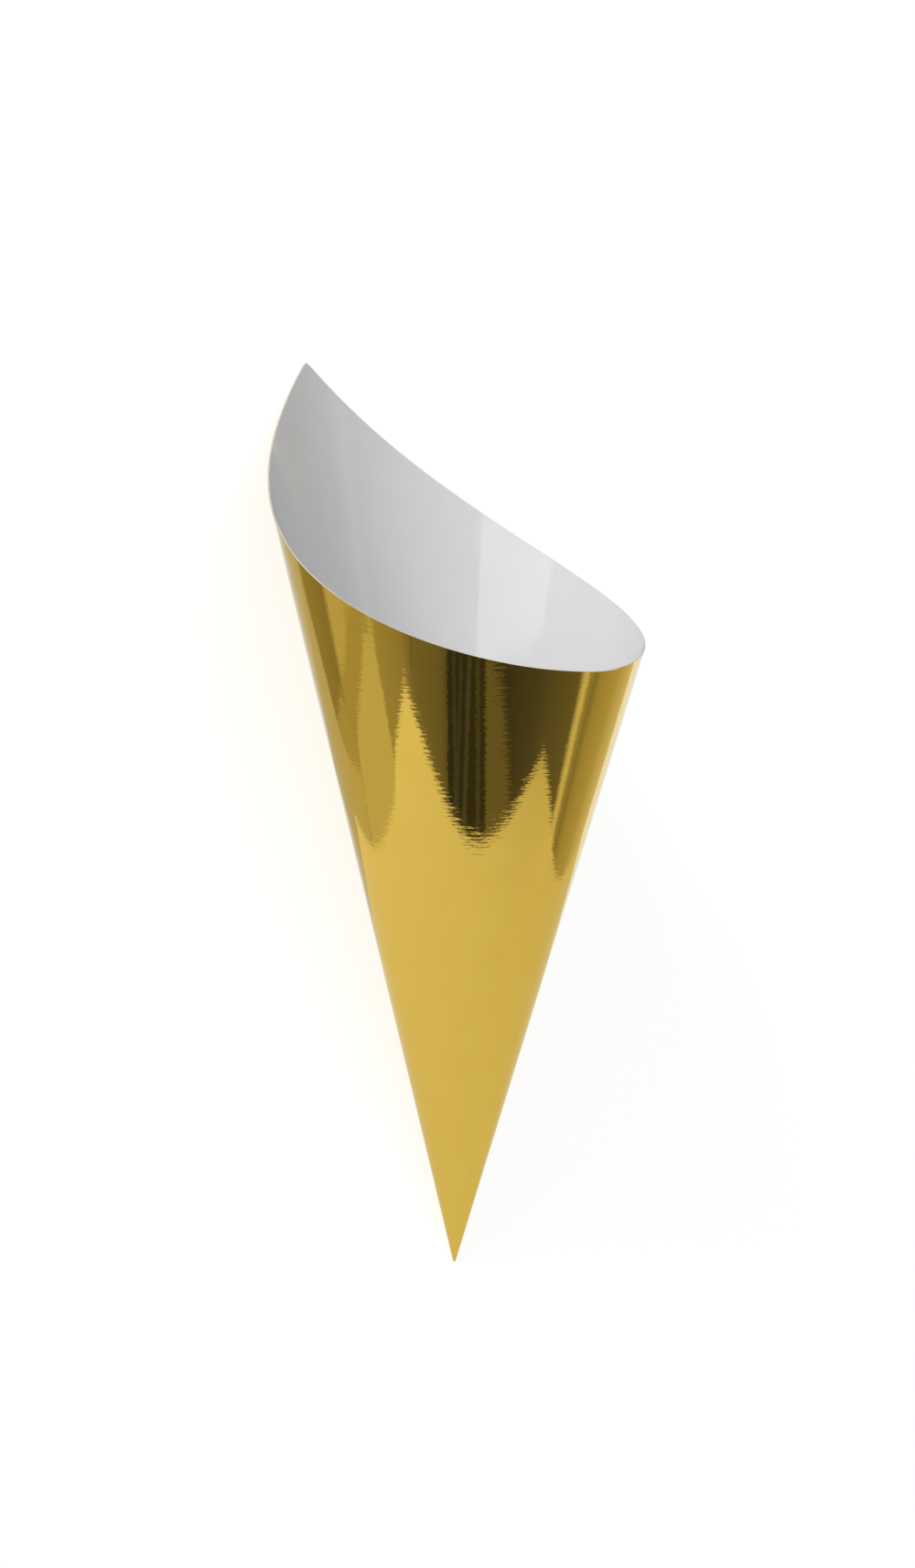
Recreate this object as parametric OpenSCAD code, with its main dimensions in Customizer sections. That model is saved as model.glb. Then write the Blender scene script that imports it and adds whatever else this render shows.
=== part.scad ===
// Paper snack cone: a square of foil-faced card, rolled round one corner into a pointed cone and glued
// at one lap. The opposite corner stands up as a peak over the slanted mouth.
// It lies on its side, as it comes to rest, on the line from the tip to the peak. +X runs along that
// line to the peak, +Z is up, and the origin is in the middle of the base of its bounding box.
// Lengths are in millimetres and angles in degrees.

/* [Blank] */

// Side of the square blank, which is also the length of the glued lap
blank_side = 150; // [120:1:180]

// Thickness of the card
card_t = 0.35; // [0.2:0.05:0.6]

// How far the rounded corner at the peak stands back from a sharp one
peak_back = 0.5; // [0.1:0.1:2]

/* [Roll] */

// Angle between the cone's axis and its side, which sets how far the blank laps
half_angle = 14.15; // [12:0.05:14.3]

// Turn round the cone over which the outer layer climbs onto the inner one
climb_turn = 20; // [8:1:40]

// Distance from the tip at which the lap reaches its full thickness
lap_full = 12; // [5:1:30]

/* [Hidden] */

foil_gold = [0.84, 0.70, 0.34];

// Angle at each corner of the square blank
corner = 90;

// Where the blunt tip is cut, as a share of the height at which the inside runs out to a point
tip_share = 0.75;

// Number of facets round each side of the cone, up the climb and across the lap
side_steps = 112;
climb_steps = 10;
lap_steps = 8;

// Turn that a square cut edge of the card takes up, so that its two corners stay apart
cut_turn = 0.15;

// The lap is what the corner of the blank has left over after one turn of the cone. It is centred
// opposite the peak, which is at zero round the cone.
lap_turn = corner / sin(half_angle) - 360;
inner_edge = 180 - lap_turn / 2;
outer_edge = 180 + lap_turn / 2;
climb_from = inner_edge - climb_turn;

// Flat angle over which the straight sides of the blank run into the rounded corner at the peak
peak_soft = peak_back / (blank_side * sqrt(2)) * 180 / PI;

// Height at which the inner face comes to a point, and the length of the sharp tip that is missing
inner_tip = card_t / sin(half_angle);
tip_along = tip_share * inner_tip / cos(half_angle);

function spread(from, to, count) = [for (i = [0 : count - 1]) from + (to - from) * i / count];

// Places round the cone where the card is drawn, with a close pair at each cut edge
turns = concat(
    spread(0, climb_from, side_steps),
    spread(climb_from, inner_edge, climb_steps),
    [inner_edge],
    spread(inner_edge + cut_turn, outer_edge, lap_steps),
    [outer_edge],
    spread(outer_edge + cut_turn, 360, side_steps)
);

function ease(share) = let (s = max(0, min(1, share))) s * s * (3 - 2 * s);

// Turn from the peak on the layer that a face belongs to, where the layer on the low side ends at edge
function turn_from_peak(turn, edge) = turn <= edge ? turn : 360 - turn;

// Distance from the tip to the side of the blank, measured along the card
function reach(turn) =
    let (flat = turn * sin(half_angle))
    blank_side / cos(corner / 2 - sqrt(flat ^ 2 + peak_soft ^ 2));

// Height of a face above the plain cone, where the outer layer climbs and then ends at edge
function lift(turn, edge, along) =
    turn > edge ? 0 : card_t * ease((turn - climb_from) / climb_turn) * min(1, along / lap_full);

// Point of the standing cone: along is measured from the tip and off is square to the outer face
function on_cone(turn, along, off) =
    let (r = along * sin(half_angle) + off * cos(half_angle))
    [r * cos(turn), r * sin(turn), along * cos(half_angle) - off * sin(half_angle)];

function outer_point(turn, along) = on_cone(turn, along, lift(turn, outer_edge, along));

function inner_point(turn, along) = on_cone(turn, along, lift(turn, inner_edge, along) - card_t);

// The surface runs from the tip up the outer face, over the cut rim and down the inner face
standing = concat(
    [on_cone(0, 0, 0) + [0, 0, tip_along * cos(half_angle)]],
    [for (t = turns) outer_point(t, tip_along)],
    [for (t = turns) outer_point(t, lap_full)],
    [for (t = turns) outer_point(t, reach(turn_from_peak(t, outer_edge)))],
    [for (t = turns) inner_point(t, reach(turn_from_peak(t, inner_edge)))],
    [for (t = turns) inner_point(t, lap_full)],
    [[0, 0, inner_tip]]
);

rings = 5;
round = len(turns);
last = rings * round + 1;

function ring_point(ring, i) = 1 + ring * round + i % round;

faces = concat(
    [for (i = [0 : round - 1]) [0, ring_point(0, i), ring_point(0, i + 1)]],
    [for (r = [0 : rings - 2], i = [0 : round - 1])
        [ring_point(r, i + 1), ring_point(r, i), ring_point(r + 1, i)]],
    [for (r = [0 : rings - 2], i = [0 : round - 1])
        [ring_point(r, i + 1), ring_point(r + 1, i), ring_point(r + 1, i + 1)]],
    [for (i = [0 : round - 1]) [last, ring_point(rings - 1, i + 1), ring_point(rings - 1, i)]]
);

// Turned about Y, so that the line from the tip to the peak lies along X on the ground
function lying(p) = [
    p.x * sin(half_angle) + p.z * cos(half_angle),
    p.y,
    p.z * sin(half_angle) - p.x * cos(half_angle)
];

laid = [for (p = standing) lying(p)];

function axis_min(axis) = min([for (p = laid) p[axis]]);

function axis_max(axis) = max([for (p = laid) p[axis]]);

base_centre = [(axis_min(0) + axis_max(0)) / 2, (axis_min(1) + axis_max(1)) / 2, axis_min(2)];

module rolled_card() {
    color(foil_gold)
        translate(-base_centre)
            polyhedron(points = laid, faces = faces);
}

rolled_card();
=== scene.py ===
import math

import bpy
from mathutils import Matrix, Vector


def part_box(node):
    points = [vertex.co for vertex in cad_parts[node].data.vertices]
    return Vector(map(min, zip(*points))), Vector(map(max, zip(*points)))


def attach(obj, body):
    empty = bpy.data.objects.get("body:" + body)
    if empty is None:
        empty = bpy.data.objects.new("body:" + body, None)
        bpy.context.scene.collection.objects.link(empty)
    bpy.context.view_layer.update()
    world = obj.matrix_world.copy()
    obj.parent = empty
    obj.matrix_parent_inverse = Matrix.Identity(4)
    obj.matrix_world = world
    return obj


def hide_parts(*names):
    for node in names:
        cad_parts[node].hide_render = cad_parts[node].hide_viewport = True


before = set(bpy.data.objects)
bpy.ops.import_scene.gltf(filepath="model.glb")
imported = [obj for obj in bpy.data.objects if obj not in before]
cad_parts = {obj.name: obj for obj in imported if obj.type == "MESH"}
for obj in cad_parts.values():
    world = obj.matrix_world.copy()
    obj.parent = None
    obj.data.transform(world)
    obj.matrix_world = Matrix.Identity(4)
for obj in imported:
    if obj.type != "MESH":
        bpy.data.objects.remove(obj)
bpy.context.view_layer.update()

# The square blank and the way it is rolled, in metres and degrees
blank = {
    "side": 0.150,
    "cardThick": 0.00035,
    "peakBack": 0.0005,  # how far the rounded corner at the peak stands back
    "halfAngle": 14.15,  # axis to side
    "climbTurn": 20.0,  # turn over which the outer layer climbs onto the inner one
    "lapFull": 0.012,  # from the tip, where the lap has its full thickness
    "tipShare": 0.75,  # blunt tip, as a share of the height where the inside closes
    "tipThinShare": 0.9,  # most of the roll's radius that the card may fill near the tip
    "glueGap": 0.00001,
    "cutRound": 0.00004,  # softened corners of the cut edges
    "roundSteps": 2,
    "cutFacing": 0.3,  # a flat face that looks up or down less than this is on a cut edge
    "smoothAngle": 12.0,
    "turnSteps": 360,
    "alongSteps": 48,
}

halfAngle = math.radians(blank["halfAngle"])
halfCorner = math.radians(45)  # of the square's corner at the tip
rightAngle = math.radians(90)
peakSoft = blank["peakBack"] / (blank["side"] * math.sqrt(2))
tipAlong = blank["tipShare"] * blank["cardThick"] / math.sin(halfAngle) / math.cos(halfAngle)


def reach(flat):  # distance from the tip to the side of the blank, at an angle from its diagonal
    return blank["side"] / math.cos(halfCorner - math.hypot(flat, peakSoft))


# Standing, the tip is at zero, +Z runs up the axis and the peak is at +X. Lying, the line to the peak
# runs along the ground.
tipPlace = Vector((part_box("rolled_card")[1].x - reach(0), 0, 0))
layDown = Matrix.Rotation(rightAngle - halfAngle, 3, "Y")


def lying(standing):
    return layDown @ Vector(standing) + tipPlace


def roundTheCone(azimuth, rise):  # direction in the standing frame, as seen from the tip, laid down
    turn, tilt = math.radians(azimuth), math.radians(rise)
    return layDown @ Vector((math.cos(tilt) * math.cos(turn), math.cos(tilt) * math.sin(turn),
                             math.sin(tilt)))


def newMaterial(name):
    material = bpy.data.materials.new(name)
    material.use_nodes = True
    tree = material.node_tree
    return material, tree, tree.nodes["Principled BSDF"]


def addNode(tree, kind, **values):
    node = tree.nodes.new(kind)
    for name, value in values.items():
        if name in node.inputs:
            node.inputs[name].default_value = value
        else:
            setattr(node, name, value)
    return node


fibre = {
    "detail": 3.0,
    "roughness": 0.6,
    "curl": 1.2,
    "cloudScale": 0.06,  # as a share of the fibres' scale
    "cloudDetail": 2.0,
}


# Fibres and clouding of a sheet of card, for the white coat and for the cut edges
def makeCardGroup():
    tree = bpy.data.node_groups.new("cardFibre", "ShaderNodeTree")
    face = tree.interface
    face.new_socket("Vector", in_out="INPUT", socket_type="NodeSocketVector")
    face.new_socket("Size", in_out="INPUT", socket_type="NodeSocketFloat")
    face.new_socket("Fibre", in_out="OUTPUT", socket_type="NodeSocketFloat")
    face.new_socket("Cloud", in_out="OUTPUT", socket_type="NodeSocketFloat")
    inlet = addNode(tree, "NodeGroupInput")
    outlet = addNode(tree, "NodeGroupOutput")
    finer = addNode(tree, "ShaderNodeVectorMath", operation="DIVIDE")
    threads = addNode(tree, "ShaderNodeTexNoise", Scale=1.0, Detail=fibre["detail"],
                      Roughness=fibre["roughness"], Distortion=fibre["curl"])
    cloud = addNode(tree, "ShaderNodeTexNoise", Scale=fibre["cloudScale"], Detail=fibre["cloudDetail"])
    link = tree.links.new
    link(inlet.outputs["Vector"], finer.inputs[0])
    link(inlet.outputs["Size"], finer.inputs[1])
    link(finer.outputs[0], threads.inputs["Vector"])
    link(finer.outputs[0], cloud.inputs["Vector"])
    link(threads.outputs[0], outlet.inputs["Fibre"])
    link(cloud.outputs[0], outlet.inputs["Cloud"])


def addBlend(tree, mask, low, high, socket):  # a colour that runs from low to high with a mask
    blend = addNode(tree, "ShaderNodeMix", data_type="RGBA")
    for name, value in (("A", low), ("B", high)):
        colours = [entry for entry in blend.inputs if entry.name == name and entry.type == "RGBA"]
        colours[0].default_value = value
    tree.links.new(mask, blend.inputs["Factor"])
    tree.links.new([out for out in blend.outputs if out.type == "RGBA"][0], socket)


def addRange(tree, mask, low, high, socket, over=(0, 1)):
    spread = addNode(tree, "ShaderNodeMapRange")
    spread.inputs["From Min"].default_value, spread.inputs["From Max"].default_value = over
    spread.inputs["To Min"].default_value = low
    spread.inputs["To Max"].default_value = high
    tree.links.new(mask, spread.inputs["Value"])
    tree.links.new(spread.outputs[0], socket)


def addBump(tree, height, depth, below=None):
    bump = addNode(tree, "ShaderNodeBump", Distance=depth)
    tree.links.new(height, bump.inputs["Height"])
    if below:
        tree.links.new(below.outputs[0], bump.inputs["Normal"])
    return bump


foil = {
    "colours": ((0.637, 0.436, 0.078, 1), (0.663, 0.460, 0.087, 1)),
    "edgeTint": (0.86, 0.86, 0.80, 1),  # what the lacquer keeps back at a low angle
    "roughness": (0.040, 0.055),
    "streakSize": (0.028, 0.0042),  # round the cone in radians of blank, and along it in sides of blank
    "streakDetail": 2.0,
    "streakDepth": 0.000010,
    "waveSize": (0.085, 0.065),
    "waveDetail": 1.0,
    "waveDepth": 0.000010,
    "dimpleSize": (0.009, 0.012),
    "dimpleDetail": 1.0,
    "dimpleDepth": 0.000008,
}


def makeFoil():
    material, tree, shader = newMaterial("goldFoil")
    shader.inputs["Metallic"].default_value = 1
    shader.inputs["Specular Tint"].default_value = foil["edgeTint"]
    sheet = addNode(tree, "ShaderNodeUVMap", uv_map="flatSheet")
    grain = []
    for kind in ("streak", "wave", "dimple"):
        size = foil[kind + "Size"]
        scale = addNode(tree, "ShaderNodeMapping", Scale=(1 / size[0], 1 / size[1], 1))
        noise = addNode(tree, "ShaderNodeTexNoise", Scale=1.0, Detail=foil[kind + "Detail"])
        tree.links.new(sheet.outputs[0], scale.inputs["Vector"])
        tree.links.new(scale.outputs[0], noise.inputs["Vector"])
        grain.append(noise.outputs[0])
    streaks, waves, dimples = grain
    addBlend(tree, waves, *foil["colours"], shader.inputs["Base Color"])
    addRange(tree, streaks, *foil["roughness"], shader.inputs["Roughness"])
    swell = addBump(tree, waves, foil["waveDepth"])
    dent = addBump(tree, dimples, foil["dimpleDepth"], below=swell)
    ripple = addBump(tree, streaks, foil["streakDepth"], below=dent)
    tree.links.new(ripple.outputs[0], shader.inputs["Normal"])
    return material


coat = {
    "colours": ((0.77, 0.77, 0.785, 1), (0.81, 0.81, 0.82, 1)),
    "colourBy": "Cloud",
    "roughness": (0.06, 0.10),
    "roughBy": "Fibre",
    "fibreSize": 0.0009,
    "fibreDepth": 0.0000015,
}

core = {
    "colours": ((0.58, 0.53, 0.42, 1), (0.73, 0.67, 0.54, 1)),
    "colourBy": "Fibre",
    "roughness": (0.75, 0.9),
    "roughBy": "Cloud",
    "fibreSize": 0.00025,
    "fibreDepth": 0.00001,
}


def makePaper(name, paper):
    material, tree, shader = newMaterial(name)
    place = addNode(tree, "ShaderNodeTexCoord")
    fibres = addNode(tree, "ShaderNodeGroup", node_tree=bpy.data.node_groups["cardFibre"],
                     Size=paper["fibreSize"])
    tree.links.new(place.outputs["Object"], fibres.inputs["Vector"])
    addBlend(tree, fibres.outputs[paper["colourBy"]], *paper["colours"], shader.inputs["Base Color"])
    addRange(tree, fibres.outputs[paper["roughBy"]], *paper["roughness"], shader.inputs["Roughness"])
    bump = addBump(tree, fibres.outputs["Fibre"], paper["fibreDepth"])
    tree.links.new(bump.outputs[0], shader.inputs["Normal"])
    return material


# A flat square blank is cut and given its thickness, and then rolled up
def cutBlank():
    bpy.ops.object.select_all(action="DESELECT")
    bpy.ops.mesh.primitive_grid_add(
        x_subdivisions=blank["turnSteps"], y_subdivisions=blank["alongSteps"], size=1)
    sheet = bpy.context.object
    sheet.name = "foilCone"
    sheet.data.uv_layers.active.name = "flatSheet"
    uv = sheet.data.uv_layers.active.data
    for vertex in sheet.data.vertices:
        flat = -2 * vertex.co.x * halfCorner
        along = tipAlong + (vertex.co.y + 0.5) * (reach(flat) - tipAlong)
        vertex.co = (along * math.cos(flat), along * math.sin(flat), 0)
    for loop in sheet.data.loops:
        place = sheet.data.vertices[loop.vertex_index].co
        uv[loop.index].uv = (math.atan2(place.y, place.x), place.length / blank["side"])
    solid = sheet.modifiers.new("thickness", "SOLIDIFY")
    solid.thickness = blank["cardThick"]
    solid.offset = -1
    edges = sheet.modifiers.new("cut edges", "BEVEL")
    edges.width = blank["cutRound"]
    edges.segments = blank["roundSteps"]
    edges.limit_method = "ANGLE"
    edges.use_clamp_overlap = False
    for modifier in ("thickness", "cut edges"):
        bpy.ops.object.modifier_apply(modifier=modifier)
    return sheet


def ease(share):
    share = max(0.0, min(1.0, share))
    return share * share * (3 - 2 * share)


def rollUp(sheet):
    lapTurn = 2 * halfCorner / math.sin(halfAngle) - 2 * math.pi
    innerEdge = math.pi - lapTurn / 2
    climb = math.radians(blank["climbTurn"])
    for vertex in sheet.data.vertices:
        along = math.hypot(vertex.co.x, vertex.co.y)
        turn = math.atan2(vertex.co.y, vertex.co.x) / math.sin(halfAngle)
        raised = (blank["cardThick"] + blank["glueGap"]) * min(1, along / blank["lapFull"])
        off = raised * ease((turn - innerEdge + climb) / climb)
        off += max(vertex.co.z, -blank["tipThinShare"] * along * math.tan(halfAngle))
        radius = along * math.sin(halfAngle) + off * math.cos(halfAngle)
        height = along * math.cos(halfAngle) - off * math.sin(halfAngle)
        vertex.co = lying((radius * math.cos(turn), radius * math.sin(turn), height))


def makeCone():
    makeCardGroup()
    sheet = cutBlank()
    for material in (makeFoil(), makePaper("whiteCoat", coat), makePaper("cardCore", core)):
        sheet.data.materials.append(material)
    cut = blank["cutFacing"]
    for face in sheet.data.polygons:  # still flat: the foil faces up and the coat faces down
        face.material_index = 0 if face.normal.z > cut else 1 if face.normal.z < -cut else 2
    rollUp(sheet)
    bpy.ops.object.shade_smooth_by_angle(angle=math.radians(blank["smoothAngle"]))
    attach(sheet, "root")
    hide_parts("rolled_card")
    print("cone rolled:", len(sheet.data.polygons), "faces")


# The room that only the gloss shows: its tone by the direction round the cone from the peak, and how
# warm its light is
roomTones = (
    (-180, 0.10, 0), (-153, 0.18, 0.5),
    (-149, 0.82, 0.2), (-146, 0.80, 0.2),  # a narrow lit strip
    (-143.5, 0.42, 0.7), (-137, 0.30, 0.7), (-131, 0.43, 0.8), (-110, 0.57, 0.9), (-87.5, 0.87, 0.6),
    (-86, 1.40, -0.3), (-66, 1.12, -0.2), (-37, 1.08, -0.2),  # a bright wall behind the cone
    (-23, 0.81, 0), (-5.5, 0.71, 0.4),
    (-3.5, 0.39, 1.1), (17, 0.32, 0.9),  # a brown panel
    (21, 0.68, 0.5), (33, 0.67, 0.5), (46, 0.48, 0.7), (48.5, 0.63, 0.4), (55, 0.62, 0.5),
    (58, 0.46, 0.7), (77, 0.37, 0.6), (85, 0.24, 0.5), (104, 0.19, 0.5), (109.5, 0.14, 0.4),
    (110.5, 0.045, 0), (152, 0.06, 0), (180, 0.10, 0),  # the dark place where the camera stands
)
warmTint = (0.12, 0, -0.42)  # what warmth adds to each part of the light

studio = {
    "floorSize": 3.0,
    "floorColour": (0.55, 0.55, 0.55, 1),
    "floorRough": 0.9,
    "floorLift": (0.735, 0.80),  # lifts the floor to white for the camera alone, near and far
    "fade": (0.35, 1.2),  # from the origin, where the floor goes over into the backdrop
    "skyLevel": 0.44,  # even white light from all round, for all but the gloss and the camera
}

# A painted reflection of a white table top, level with the tip: a glowing card that only the foil's
# gloss shows. It is laid out from the tip, by distances to the front, which faces "turn" round the cone
# from the peak, and to the left.
table = {
    "turn": 136.9,
    "below": 0.002,
    "front": 0.150,
    "back": -0.190,
    "left": 0.184,
    "right": -0.162,
    "bow": 0.014,  # how far the corners of the front edge stand back
    "splay": 0.14,  # how much further out the right edge lies for each step back
    "leftFlare": 0.017,  # how much further out the left edge lies near the front
    "flareFrom": 0.050,
    "flareOver": 0.030,
    "tone": 0.97,
    "toneLeft": 0.47,  # gain in tone for each metre to the left
    "dimCorner": 0.14,  # painted shade: loss of tone at the right end of the front edge
    "dimFrom": 0.070,
    "dimOver": 0.055,
    "warmth": 0.12,
    "warmRight": 1.2,  # gain in warmth for each metre to the right
    "warmBack": 2.0,  # and for each metre to the back
    "steps": 32,
}

# Painted reflections: glowing cards that only the foil's gloss shows, for sheets on the ground beside
# the table and for dark and pale ground far below it, by their corners to the front and to the left
groundReflections = {
    "nearSheet": {
        "corners": ((0.070, 0.180), (0.070, 0.290), (0.035, 0.305), (-0.025, 0.280), (-0.055, 0.270),
                    (-0.080, 0.250), (-0.080, 0.170)),
        "below": 0.003, "tone": 0.75, "warmth": 0.35,
    },
    "farSheet": {
        "corners": ((-0.083, 0.170), (-0.083, 0.235), (-0.175, 0.240), (-0.225, 0.260), (-0.310, 0.315),
                    (-0.440, 0.385), (-0.440, 0.100)),
        "below": 0.003, "tone": 0.70, "warmth": 0.5,
    },
    "greySheet": {
        "corners": ((0.060, 0.200), (0.060, 0.330), (-0.035, 0.345), (-0.075, 0.320), (-0.135, 0.305),
                    (-0.115, 0.275), (-0.090, 0.250), (-0.085, 0.200)),
        "below": 0.004, "tone": 0.51, "warmth": 0.75,
    },
    "brownSheet": {
        "corners": ((-0.150, 0.300), (-0.080, 0.260), (-0.080, 0.200), (-0.270, 0.240)),
        "below": 0.005, "tone": 0.53, "warmth": 0.9,
    },
    "cornerSliver": {
        "corners": ((0.178, 0.209), (0.178, 0.203), (0.158, 0.184), (0.158, 0.189)),
        "below": 0.003, "tone": 0.17, "warmth": 0.5,
    },
    # painted shade in the reflection: a dark stretch far below, crossed by four lighter bars
    "darkReflectionCard": {
        "corners": ((0.960, 0.460), (0.600, 0.320), (0.600, -0.140), (0.960, 0.060)),
        "below": 0.504, "tone": 0.045, "warmth": 0,
    },
    "barOne": {
        "corners": ((0.900, 0.390), (0.900, 0.350), (0.640, 0.205), (0.640, 0.240)),
        "below": 0.502, "tone": 0.085, "warmth": -1,
    },
    "barTwo": {
        "corners": ((0.900, 0.280), (0.900, 0.245), (0.700, 0.220), (0.700, 0.255)),
        "below": 0.502, "tone": 0.080, "warmth": -1,
    },
    "barThree": {
        "corners": ((0.930, 0.200), (0.930, 0.150), (0.660, 0.120), (0.660, 0.165)),
        "below": 0.502, "tone": 0.095, "warmth": -1,
    },
    "barFour": {
        "corners": ((0.930, 0.120), (0.930, 0.070), (0.660, -0.070), (0.660, -0.020)),
        "below": 0.502, "tone": 0.095, "warmth": 0,
    },
    "paleGround": {
        "corners": ((0.930, 0.010), (0.620, -0.155), (0.620, -0.425), (0.730, -0.340), (0.805, -0.270),
                    (0.865, -0.210), (0.900, -0.130), (0.930, -0.060)),
        "below": 0.500, "tone": 0.180, "warmth": 0.5,
    },
}

# Painted reflection: a glowing card that only the gloss shows, a bright window mirrored in the white
# coat inside the cone and in the foil
windowReflection = {"turns": (76.5, 126.5), "rises": (23.8, 60), "distance": 1.2, "tone": 2.1}


def warmed(tone, warmth=0.0):
    return [tone * (1 + part * warmth) for part in warmTint] + [1]


def emission(name, colour):
    material = bpy.data.materials.new(name)
    material.use_nodes = True
    tree = material.node_tree
    tree.nodes.remove(tree.nodes["Principled BSDF"])
    glow = addNode(tree, "ShaderNodeEmission", Strength=1.0, Color=colour)
    tree.links.new(glow.outputs[0], tree.nodes["Material Output"].inputs["Surface"])
    material.cycles.emission_sampling = "NONE"
    return material


def addCard(name, steps=1):
    bpy.ops.object.select_all(action="DESELECT")
    bpy.ops.mesh.primitive_grid_add(x_subdivisions=steps, y_subdivisions=steps, size=1)
    card = bpy.context.object
    card.name = name
    return card


def glossOnly(card, material):
    card.data.materials.append(material)
    card.visible_camera = False
    card.visible_diffuse = False
    card.visible_transmission = False
    card.visible_shadow = False
    print("mirrored card:", card.name)


def makeFloor():
    bpy.ops.object.select_all(action="DESELECT")
    bpy.ops.mesh.primitive_plane_add(size=studio["floorSize"])
    floor = bpy.context.object
    floor.name = "floor"
    material, tree, shader = newMaterial("paleFloor")
    shader.inputs["Base Color"].default_value = studio["floorColour"]
    shader.inputs["Roughness"].default_value = studio["floorRough"]
    place = addNode(tree, "ShaderNodeTexCoord")
    away = addNode(tree, "ShaderNodeVectorMath", operation="LENGTH")
    tree.links.new(place.outputs["Object"], away.inputs[0])
    addRange(tree, away.outputs["Value"], *studio["floorLift"], shader.inputs["Emission Color"],
             over=studio["fade"])
    ray = addNode(tree, "ShaderNodeLightPath")
    tree.links.new(ray.outputs["Is Camera Ray"], shader.inputs["Emission Strength"])
    floor.data.materials.append(material)
    floor.visible_glossy = False
    print("floor laid")


def onTable(front, left, below=table["below"]):
    turn = math.radians(table["turn"])
    x = front * math.cos(turn) + left * math.sin(turn)
    y = front * math.sin(turn) - left * math.cos(turn)
    return lying((x, y, -below))


# The table's painted reflection: brighter to the left, painted shade at the right end of the front
# edge, warmer light to the right and the back
def tableLight(front, left):
    dim = max(0, (front - table["dimFrom"]) / table["dimOver"]) * max(0, left / table["right"]) ** 2
    tone = table["tone"] + table["toneLeft"] * left - table["dimCorner"] * dim
    warmth = table["warmth"] + table["warmRight"] * max(0, -left) + table["warmBack"] * max(0, -front)
    return warmed(tone, warmth)


def makeTableReflection():
    card = addCard("tableReflectionCard", table["steps"])
    light = card.data.color_attributes.new("light", "FLOAT_COLOR", "POINT")
    for vertex in card.data.vertices:
        across, back = vertex.co.x + 0.5, 0.5 - vertex.co.y
        front = table["front"] - table["bow"] * abs(2 * vertex.co.x) ** 3
        backward = back * (front - table["back"])
        place = front - backward
        flare = table["leftFlare"] * ease((place - table["flareFrom"]) / table["flareOver"])
        left = table["right"] + across * (table["left"] + flare - table["right"])
        left -= table["splay"] * backward * (1 - across)
        light.data[vertex.index].color = tableLight(place, left)
        vertex.co = onTable(place, left)
    material = emission("tableReflectionGlow", warmed(table["tone"]))
    tree = material.node_tree
    painted = addNode(tree, "ShaderNodeVertexColor", layer_name="light")
    tree.links.new(painted.outputs["Color"], tree.nodes["Emission"].inputs["Color"])
    glossOnly(card, material)


def makeGroundReflections():
    for name, sheet in groundReflections.items():
        bpy.ops.object.select_all(action="DESELECT")
        bpy.ops.mesh.primitive_circle_add(vertices=len(sheet["corners"]), fill_type="NGON")
        card = bpy.context.object
        card.name = name
        for vertex, corner in zip(card.data.vertices, sheet["corners"]):
            vertex.co = onTable(*corner, sheet["below"])
        glossOnly(card, emission(name, warmed(sheet["tone"], sheet["warmth"])))


def makeWindowReflection():
    card = addCard("windowReflection")
    for vertex in card.data.vertices:
        turn = math.radians(windowReflection["turns"][vertex.co.x > 0])
        rise = math.radians(windowReflection["rises"][vertex.co.y > 0])
        outward = (math.cos(turn), math.sin(turn), math.tan(rise))
        vertex.co = lying(Vector(outward) * windowReflection["distance"])
    glossOnly(card, emission("windowLight", warmed(windowReflection["tone"])))


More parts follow.
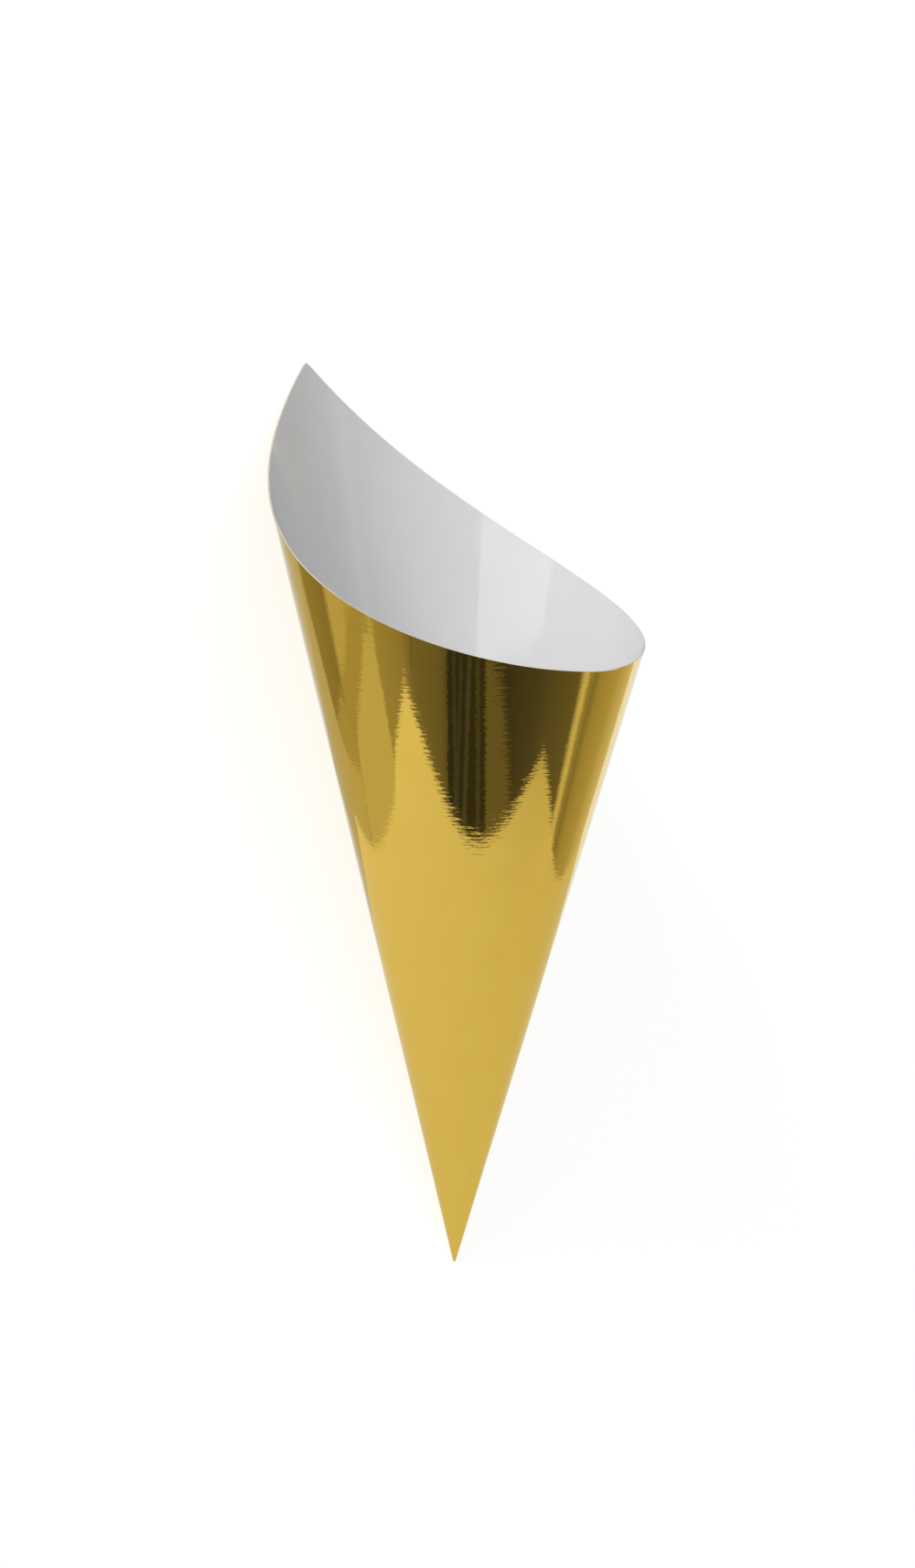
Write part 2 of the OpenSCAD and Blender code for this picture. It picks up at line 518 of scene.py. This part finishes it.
def makeWorld():
    world = bpy.data.worlds.new("studio")
    bpy.context.scene.world = world
    world.use_nodes = True
    tree = world.node_tree
    tree.nodes.clear()
    way = addNode(tree, "ShaderNodeTexCoord")
    stand = addNode(tree, "ShaderNodeVectorRotate", rotation_type="Y_AXIS",
                    Angle=halfAngle - rightAngle)
    split = addNode(tree, "ShaderNodeSeparateXYZ")
    around = addNode(tree, "ShaderNodeMath", operation="ARCTAN2")
    ramp = addNode(tree, "ShaderNodeValToRGB")
    stops = ramp.color_ramp.elements
    stops.remove(stops[1])
    brightest = max(tone for azimuth, tone, warmth in roomTones)
    for index, (azimuth, tone, warmth) in enumerate(roomTones):
        place = math.radians(azimuth) / (2 * math.pi) + 0.5
        stop = stops[0] if index == 0 else stops.new(place)
        stop.position = place
        stop.color = warmed(tone / brightest, warmth)
    link = tree.links.new
    link(way.outputs["Generated"], stand.inputs["Vector"])
    link(stand.outputs["Vector"], split.inputs[0])
    link(split.outputs["Y"], around.inputs[0])
    link(split.outputs["X"], around.inputs[1])
    addRange(tree, around.outputs[0], 0, 1, ramp.inputs["Fac"], over=(-math.pi, math.pi))
    room = addNode(tree, "ShaderNodeBackground", Strength=brightest)
    link(ramp.outputs["Color"], room.inputs["Color"])
    sky = addNode(tree, "ShaderNodeBackground", Strength=studio["skyLevel"], Color=(1, 1, 1, 1))
    white = addNode(tree, "ShaderNodeBackground", Strength=1.0, Color=(1, 1, 1, 1))
    ray = addNode(tree, "ShaderNodeLightPath")
    forGloss = addNode(tree, "ShaderNodeMixShader")
    link(ray.outputs["Is Glossy Ray"], forGloss.inputs[0])
    link(sky.outputs[0], forGloss.inputs[1])
    link(room.outputs[0], forGloss.inputs[2])
    forCamera = addNode(tree, "ShaderNodeMixShader")
    link(ray.outputs["Is Camera Ray"], forCamera.inputs[0])
    link(forGloss.outputs[0], forCamera.inputs[1])
    link(white.outputs[0], forCamera.inputs[2])
    output = addNode(tree, "ShaderNodeOutputWorld")
    link(forCamera.outputs[0], output.inputs["Surface"])
    print("room toned:", len(roomTones), "stops")


lamp = {
    "azimuth": 90,
    "rise": 48,
    "aimShare": 0.7,  # height of the aim up the cone's axis, as a share of the blank's side
    "distance": 1.1,
    "size": 0.5,
    "power": 8,
}


def makeLamp():
    bpy.ops.object.light_add(type="AREA")
    light = bpy.context.object
    light.name = "key"
    way = roundTheCone(lamp["azimuth"], lamp["rise"])
    light.location = lying((0, 0, blank["side"] * lamp["aimShare"])) + way * lamp["distance"]
    light.rotation_euler = way.to_track_quat("Z", "Y").to_euler()
    light.data.size = lamp["size"]
    light.data.energy = lamp["power"]
    light.visible_glossy = False
    print("lamp hung")


view = {
    "place": (0.0298, 0.3172, 0.2970),
    "turn": (7.45, -49.03, -104.13),
    "lens": 43.25,
    "sensor": 36.0,
    "nearest": 0.01,
}


def makeCamera():
    bpy.ops.object.camera_add()
    camera = bpy.context.object
    camera.name = "photoView"
    camera.location = view["place"]
    camera.rotation_euler = [math.radians(angle) for angle in view["turn"]]
    camera.data.lens = view["lens"]
    camera.data.sensor_width = view["sensor"]
    camera.data.clip_start = view["nearest"]
    bpy.context.scene.camera = camera
    print("camera set")


makeCamera()
makeCone()
makeFloor()
makeTableReflection()
makeGroundReflections()
makeWindowReflection()
makeWorld()
makeLamp()
bpy.context.scene.view_settings.view_transform = "Standard"
